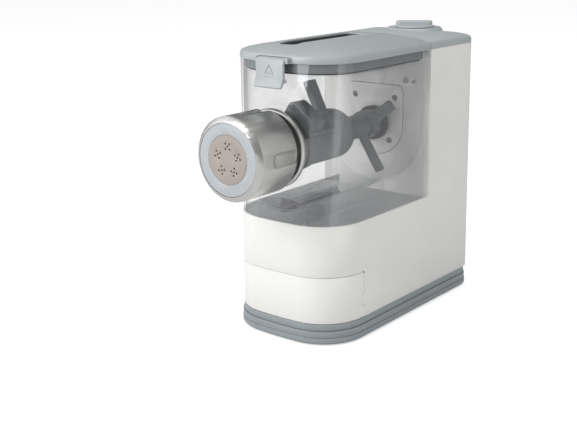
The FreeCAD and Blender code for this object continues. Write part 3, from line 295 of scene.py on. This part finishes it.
def clear_plastic(name, sheen, roughness, veil):
    """Clear polished plastic: each face lets the light through, less and less towards grazing
    angles, where it turns to a mirror. The veil is the share that the tint keeps back."""
    material = bpy.data.materials.new(name)
    material.use_nodes = True
    material.surface_render_method = "BLENDED"
    shader = material.node_tree.nodes["Principled BSDF"]
    slant = add(material, "ShaderNodeLayerWeight", {"Blend": 0.5})
    steep = add(material, "ShaderNodeMath", {1: grazing_power}, {0: slant.outputs["Facing"]}, operation="POWER")
    cover = add(material, "ShaderNodeMapRange", {"To Min": veil, "To Max": 1.0},
                {"Value": steep.outputs[0]})
    material.node_tree.links.new(cover.outputs["Result"], shader.inputs["Alpha"])
    shader.inputs["Base Color"].default_value = linear(sheen)
    shader.inputs["Roughness"].default_value = roughness
    shader.inputs["Metallic"].default_value = 1.0
    return material


smoke_clear = clear_plastic("san_clear_smoke", "#C4C5C8", roughness=0.03, veil=0.085)
tub_clear = clear_plastic("san_clear_inner", "#D6D7DA", roughness=0.04, veil=0.05)
# Light falls straight through both clear pieces, so they throw no shadow on the tower's wall.
clear_edge = 0.35 * mm
for clear_piece in (finish_piece("chamber_wall", smoke_clear, clear_edge),
                    finish_piece("mixing_tub", tub_clear, clear_edge)):
    clear_piece.visible_shadow = False
    clear_piece.visible_diffuse = False

# The nozzle: a turned stainless collar and grip nut with a satin brushed skin and four milled
# finger dents, a light grey ring and a grey-beige acetal shaping disc with drilled holes.
stainless = metal("stainless_satin_turned", "#C6C5C3", roughness=0.3, scratch_mm=1.5,
                  anisotropy=0.5)
finish_piece("front_collar", stainless, edge=0.4 * mm)
finish_piece("grip_nut", stainless, edge=0.6 * mm)
ring_grey = moulded("acetal_light_grey", "#B2B8BC", "#AAB0B4", grain_mm=0.8, roughness=0.35)
finish_piece("disc_ring", ring_grey, edge=0.5 * mm)
disc_beige = moulded("acetal_grey_beige", "#A59C95", "#9D948D", grain_mm=0.8, roughness=0.42)
finish_piece("shaping_disc", disc_beige, edge=0.25 * mm)

# The lid: a crowned cover in light cool grey ABS with a pouring slot, a darker skirt that fits
# the chamber's mouth, a soft gasket and a dark funnel under the slot, hinged on a steel pin.
lid_grey = moulded("abs_light_cool_grey", "#ADB4B5", "#A6ADAE", grain_mm=0.7, roughness=0.36)
finish_piece("lid", lid_grey, edge=0.5 * mm)
skirt_grey = moulded("abs_slate_grey", "#6F7679", "#676E71", grain_mm=0.8, roughness=0.4)
finish_piece("lid_skirt", skirt_grey, edge=0.3 * mm)
paint(rubber, "lid_gasket")
chute_dark = moulded("abs_charcoal", "#3C4042", "#36393B", grain_mm=0.8, roughness=0.5)
finish_piece("pouring_chute", chute_dark, edge=0.3 * mm)

# The latch: a flat hook in the lid's grey that swings on a pin, with a lip for the finger. A
# small raised triangle over a line marks where to press.
mark_height = 0.25 * mm
mark_sunk = 0.2 * mm
mark_stroke = 0.8 * mm
latch_lip_reach = 4.0 * mm
triangle_half = 4.4 * mm
triangle_foot = 14.0 * mm
triangle_top = 21.0 * mm
line_half = 6.0 * mm
line_foot = 10.6 * mm
line_thickness = 0.1 * mm
latch_edge = 0.7 * mm
finish_piece("latch", lid_grey, edge=latch_edge)
latch_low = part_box("latch")[0]
latch_face = latch_low.y + latch_lip_reach
mark_grey = moulded("abs_mark_grey", "#8D9597", "#868E90", grain_mm=0.7, roughness=0.4)
triangle = [Vector((-triangle_half, 0, latch_low.z + triangle_foot)),
            Vector((0, 0, latch_low.z + triangle_top)),
            Vector((triangle_half, 0, latch_low.z + triangle_foot))]
line = [Vector((side * line_half, 0, latch_low.z + line_foot + rise))
        for side, rise in ((-1, 0), (-1, line_thickness), (1, line_thickness), (1, 0))]
for mark_name, outline in (("latch_mark_triangle", triangle), ("latch_mark_line", line)):
    mark = strip_round(mark_name, outline, mark_stroke, latch_face - mark_height,
                       latch_face + mark_sunk, mark_grey)
    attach(mark, nodes["latch"]["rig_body"])

# The rear cap, the selector's dais and the bar-grip knob: the same cool grey ABS as the lid. The
# knob turns the switch below over its spindle.
finish_piece("rear_cap", lid_grey, edge=0.4 * mm)
finish_piece("control_knob", lid_grey, edge=0.5 * mm)

# The mains inlet: a two-pin socket in black nylon, set flush in the rear wall.
paint(black_nylon, "mains_inlet")

# The floor and the studio: a pale floor, a large soft lamp from the front left, a fill from
# above, and a white room that the metal and the clear plastic can show.
floor_half = 6.0
floor_drop = 0.0005
floor_paint = bpy.data.materials.new("floor_pale")
floor_paint.use_nodes = True
bpy.ops.mesh.primitive_plane_add(size=2 * floor_half, location=(0, 0, -floor_drop))
floor = bpy.context.object
floor.name = "floor"
floor.data.materials.append(floor_paint)
floor_shader = floor_paint.node_tree.nodes["Principled BSDF"]
floor_shader.inputs["Base Color"].default_value = linear("#E9E9E9")
floor_shader.inputs["Roughness"].default_value = 0.9
floor_shader.inputs["Specular IOR Level"].default_value = 0.1
rays = add(floor_paint, "ShaderNodeLightPath")
floor_lift = 0.55
lift = add(floor_paint, "ShaderNodeMath", {1: floor_lift}, {0: rays.outputs["Is Camera Ray"]},
           operation="MULTIPLY")
floor_shader.inputs["Emission Color"].default_value = linear("#FFFFFF")
floor_paint.node_tree.links.new(lift.outputs[0], floor_shader.inputs["Emission Strength"])

room_light = 0.5
room_in_metal = 0.28
room_in_view = 1.0
world = bpy.data.worlds.new("white_room")
bpy.context.scene.world = world
world.use_nodes = True
sky = world.node_tree.nodes["Background"]
sky.inputs["Color"].default_value = linear("#FFFFFF")
seen = add(world, "ShaderNodeLightPath")
seen_or_shiny = add(world, "ShaderNodeMath", None,
                    {0: seen.outputs["Is Camera Ray"], 1: seen.outputs["Is Transmission Ray"]},
                    operation="MAXIMUM")
plain_strength = add(world, "ShaderNodeMapRange", {"To Min": room_light, "To Max": room_in_metal},
                     {"Value": seen.outputs["Is Glossy Ray"]})
strength = add(world, "ShaderNodeMapRange", {"To Max": room_in_view},
               {"Value": seen_or_shiny.outputs[0], "To Min": plain_strength.outputs["Result"]})
world.node_tree.links.new(strength.outputs["Result"], sky.inputs["Strength"])


def soft_lamp(name, place, aim, width, height, power):
    """A rectangular softbox."""
    lamp = bpy.data.lights.new(name, "AREA")
    lamp.shape = "RECTANGLE"
    lamp.size = width
    lamp.size_y = height
    lamp.energy = power
    holder = bpy.data.objects.new(name, lamp)
    bpy.context.scene.collection.objects.link(holder)
    holder.location = place
    holder.rotation_mode = "QUATERNION"
    holder.rotation_quaternion = (Vector(aim) - Vector(place)).to_track_quat("-Z", "Y")
    return holder


soft_lamp("key_front_left", place=(-0.9, -1.9, 1.2), aim=(0, 0, 0.15), width=1.6, height=1.6,
          power=34)
soft_lamp("top", place=(0.1, 0.0, 2.0), aim=(0, 0, 0.2), width=1.4, height=1.4, power=12)
soft_lamp("side_panel", place=(2.0, -0.5, 0.7), aim=(0, 0, 0.18), width=0.6, height=1.4, power=3.5)

# Upright white screens to the right that only the metal and the clear plastic mirror. They give the
# chamber its light bands: the first is the brightest, the later ones fade towards the back.
screen_distance = 0.55
screen_height = 0.7


def mirror_screen(name, from_degrees, to_degrees, strength):
    """An upright screen between two directions, counted from the front towards the right."""
    edges = []
    for degrees in (from_degrees, to_degrees):
        angle = math.radians(degrees)
        edges.append(Vector((math.sin(angle), -math.cos(angle), 0)) * screen_distance)
    lift_up = Vector((0, 0, screen_height))
    mesh = bpy.data.meshes.new(name)
    mesh.from_pydata([edges[0], edges[1], edges[1] + lift_up, edges[0] + lift_up], [], [(0, 1, 2, 3)])
    glow = bpy.data.materials.new(name + "_white")
    glow.use_nodes = True
    shader = glow.node_tree.nodes["Principled BSDF"]
    shader.inputs["Base Color"].default_value = linear("#000000")
    shader.inputs["Emission Color"].default_value = linear("#FFFFFF")
    shader.inputs["Emission Strength"].default_value = strength
    mesh.materials.append(glow)
    screen = bpy.data.objects.new(name, mesh)
    bpy.context.scene.collection.objects.link(screen)
    screen.visible_camera = False
    screen.visible_diffuse = False
    screen.visible_transmission = False
    screen.visible_shadow = False


mirror_screen("screen_bright", from_degrees=58, to_degrees=76, strength=1.6)
mirror_screen("screen_middle", from_degrees=78, to_degrees=100, strength=0.9)
mirror_screen("screen_soft", from_degrees=103, to_degrees=150, strength=0.55)
mirror_screen("screen_left", from_degrees=-75, to_degrees=-20, strength=1.1)

# The camera stands where the photograph was taken: its turn, height, roll and lens were solved
# from the edges of the body. The frame is shifted down a tenth of its width.
camera_turn = math.radians(39.00)
camera_rise = math.radians(12.53)
camera_roll = math.radians(-0.61)
camera_distance = 1.1029
camera_aim = Vector((-0.0643, 0.0018, 0.1523))
focal_pixels = 1040.0
frame_width = 577
frame_shift = -0.10
sensor_mm = 36.0
data = bpy.data.cameras.new("camera")
camera = bpy.data.objects.new("camera", data)
bpy.context.scene.collection.objects.link(camera)
bpy.context.scene.camera = camera
data.sensor_width = sensor_mm
data.lens = focal_pixels / frame_width * sensor_mm
data.shift_y = frame_shift
outward = Vector((math.sin(camera_turn) * math.cos(camera_rise),
                  -math.cos(camera_turn) * math.cos(camera_rise), math.sin(camera_rise)))
camera.rotation_mode = "QUATERNION"
camera.location = camera_aim + outward * camera_distance
camera.rotation_quaternion = ((-outward).to_track_quat("-Z", "Y")
                              @ Matrix.Rotation(camera_roll, 4, "Z").to_quaternion())
data.clip_start = 0.05
data.clip_end = 50.0
data.dof.use_dof = False
bpy.context.scene.view_settings.view_transform = "Standard"
